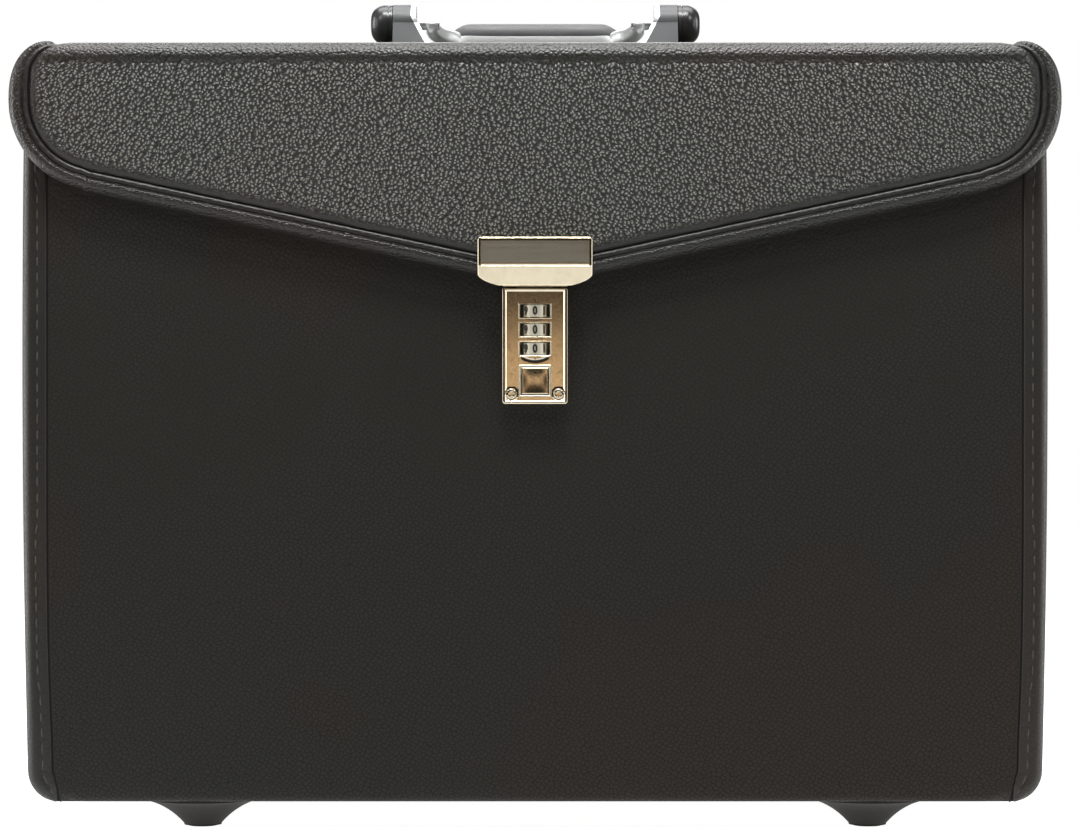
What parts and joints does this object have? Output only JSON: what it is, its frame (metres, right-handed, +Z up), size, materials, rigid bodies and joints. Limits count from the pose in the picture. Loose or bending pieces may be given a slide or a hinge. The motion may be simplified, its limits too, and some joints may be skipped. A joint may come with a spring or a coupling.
{
  "type": "leather briefcase",
  "caption": "Stiff box briefcase in black grained leather with a hinged lid, pointed front flap, combination lock and a swinging carry handle.",
  "frame": {"origin": "on the ground under the middle of the case", "axes": "+X across the width, +Y towards the back, +Z up"},
  "size_m": [0.4668, 0.2195, 0.3808],
  "materials": {
    "back_board": "raw fibreboard",
    "body_leather": "pebbled black leather, satin",
    "body_lining": "woven lining cloth",
    "bottom_board": "raw fibreboard",
    "bracket_screws": "zinc plated",
    "bracket_trim_left": "silver, satin",
    "bracket_trim_right": "silver, satin",
    "button_spring": "zinc plated",
    "corner_bend_left": "raw fibreboard",
    "corner_bend_right": "raw fibreboard",
    "dial_bottom": "pale brass with black digits",
    "dial_middle": "pale brass with black digits",
    "dial_spindle": "zinc plated",
    "dial_top": "pale brass with black digits",
    "flap_board": "raw fibreboard",
    "flap_padding": "foam padding",
    "floor_pad": "woven lining cloth",
    "foot_back_left": "moulded black",
    "foot_back_right": "moulded black",
    "foot_front_left": "moulded black",
    "foot_front_right": "moulded black",
    "foot_pads": "matt",
    "foot_screws": "zinc plated",
    "front_board": "raw fibreboard",
    "grip_insert": "soft grey",
    "handle_backing_plate": "zinc plated",
    "handle_bow": "silver, satin",
    "handle_bracket_left": "mid grey, satin",
    "handle_bracket_right": "mid grey, satin",
    "handle_cap_left": "gloss black",
    "handle_cap_right": "gloss black",
    "handle_grip": "silver, satin",
    "hasp_panel": "dark champagne, brushed",
    "hasp_plate": "pale gold nickel, polished",
    "hasp_rivets": "pale gold nickel, polished",
    "hasp_tongue": "pale gold nickel, polished",
    "hinge_leaf_body": "nickel plated",
    "hinge_leaf_lid": "nickel plated",
    "hinge_pin": "zinc plated",
    "hinge_rivets_body": "nickel plated",
    "hinge_rivets_lid": "nickel plated",
    "latch_bolt": "zinc plated",
    "lid_board": "raw fibreboard",
    "lid_edge_band": "pebbled black leather, satin",
    "lid_leather": "pebbled black leather, satin",
    "lid_lining": "woven lining cloth",
    "lid_padding": "foam padding",
    "lid_side_board_left": "raw fibreboard",
    "lid_side_board_right": "raw fibreboard",
    "lock_backplate": "zinc plated",
    "lock_case": "zinc plated",
    "lock_plate": "pale gold nickel, polished",
    "lock_screws": "pale gold nickel, polished",
    "pivot_pins": "zinc plated",
    "release_button": "pale gold nickel, polished",
    "rim_binding": "pebbled black leather, satin",
    "side_board_left": "raw fibreboard",
    "side_board_right": "raw fibreboard",
    "side_leather_left": "pebbled black leather, satin",
    "side_leather_right": "pebbled black leather, satin"
  },
  "bodies": {
    "case": {"back_board": "back_board", "body_leather": "body_leather", "body_lining": "body_lining", "bottom_board": "bottom_board", "button_spring": "button_spring", "corner_bend_left": "corner_bend_left", "corner_bend_right": "corner_bend_right", "dial_spindle": "dial_spindle", "floor_pad": "floor_pad", "foot_back_left": "foot_back_left", "foot_back_right": "foot_back_right", "foot_front_left": "foot_front_left", "foot_front_right": "foot_front_right", "foot_pads": "foot_pads", "foot_screws": "foot_screws", "front_board": "front_board", "hinge_leaf_body": "hinge_leaf_body", "hinge_pin": "hinge_pin", "hinge_rivets_body": "hinge_rivets_body", "lock_backplate": "lock_backplate", "lock_case": "lock_case", "lock_plate": "lock_plate", "lock_screws": "lock_screws", "rim_binding": "rim_binding", "side_board_left": "side_board_left", "side_board_right": "side_board_right", "side_leather_left": "side_leather_left", "side_leather_right": "side_leather_right"},
    "lid": {"bracket_screws": "bracket_screws", "bracket_trim_left": "bracket_trim_left", "bracket_trim_right": "bracket_trim_right", "flap_board": "flap_board", "flap_padding": "flap_padding", "handle_backing_plate": "handle_backing_plate", "handle_bracket_left": "handle_bracket_left", "handle_bracket_right": "handle_bracket_right", "handle_cap_left": "handle_cap_left", "handle_cap_right": "handle_cap_right", "hasp_panel": "hasp_panel", "hasp_plate": "hasp_plate", "hasp_rivets": "hasp_rivets", "hasp_tongue": "hasp_tongue", "lid_board": "lid_board", "lid_edge_band": "lid_edge_band", "lid_leather": "lid_leather", "lid_lining": "lid_lining", "lid_padding": "lid_padding", "lid_side_board_left": "lid_side_board_left", "lid_side_board_right": "lid_side_board_right", "hinge_leaf_lid": "hinge_leaf_lid", "hinge_rivets_lid": "hinge_rivets_lid", "pivot_pins": "pivot_pins"},
    "handle": {"handle_bow": "handle_bow", "handle_grip": "handle_grip", "grip_insert": "grip_insert"},
    "dial_top": {"dial_top": "dial_top"},
    "dial_middle": {"dial_middle": "dial_middle"},
    "dial_bottom": {"dial_bottom": "dial_bottom"},
    "button": {"release_button": "release_button"},
    "latch": {"latch_bolt": "latch_bolt"}
  },
  "joints": [
    {"name": "lid_hinge", "type": "hinge", "parent": "case", "child": "lid", "pos_m": [0, 0.10675, 0.3405], "axis": [-1, 0, 0], "range_deg": [0, 100]},
    {"name": "handle_swing", "type": "hinge", "parent": "lid", "child": "handle", "pos_m": [0, 0.00375, 0.3713], "axis": [1, 0, 0], "range_deg": [0, 180]},
    {"name": "dial_top_turn", "type": "hinge", "parent": "case", "child": "dial_top", "pos_m": [0, -0.09675, 0.2324], "axis": [0, 0, 1], "continuous": true},
    {"name": "dial_middle_turn", "type": "hinge", "parent": "case", "child": "dial_middle", "pos_m": [0, -0.09675, 0.224], "axis": [0, 0, 1], "continuous": true},
    {"name": "dial_bottom_turn", "type": "hinge", "parent": "case", "child": "dial_bottom", "pos_m": [0, -0.09675, 0.2156], "axis": [0, 0, 1], "continuous": true},
    {"name": "button_press", "type": "slide", "parent": "case", "child": "button", "axis": [0, 1, 0], "range_m": [0, 0.0025], "stiffness_N_per_m": 400, "springref_m": -0.001},
    {"name": "latch_slide", "type": "slide", "parent": "case", "child": "latch", "axis": [0, 1, 0], "range_m": [0, 0.0025]}
  ],
  "couplings": [
    {"joint": "latch_slide", "follows": "button_press", "ratio": 1}
  ]
}
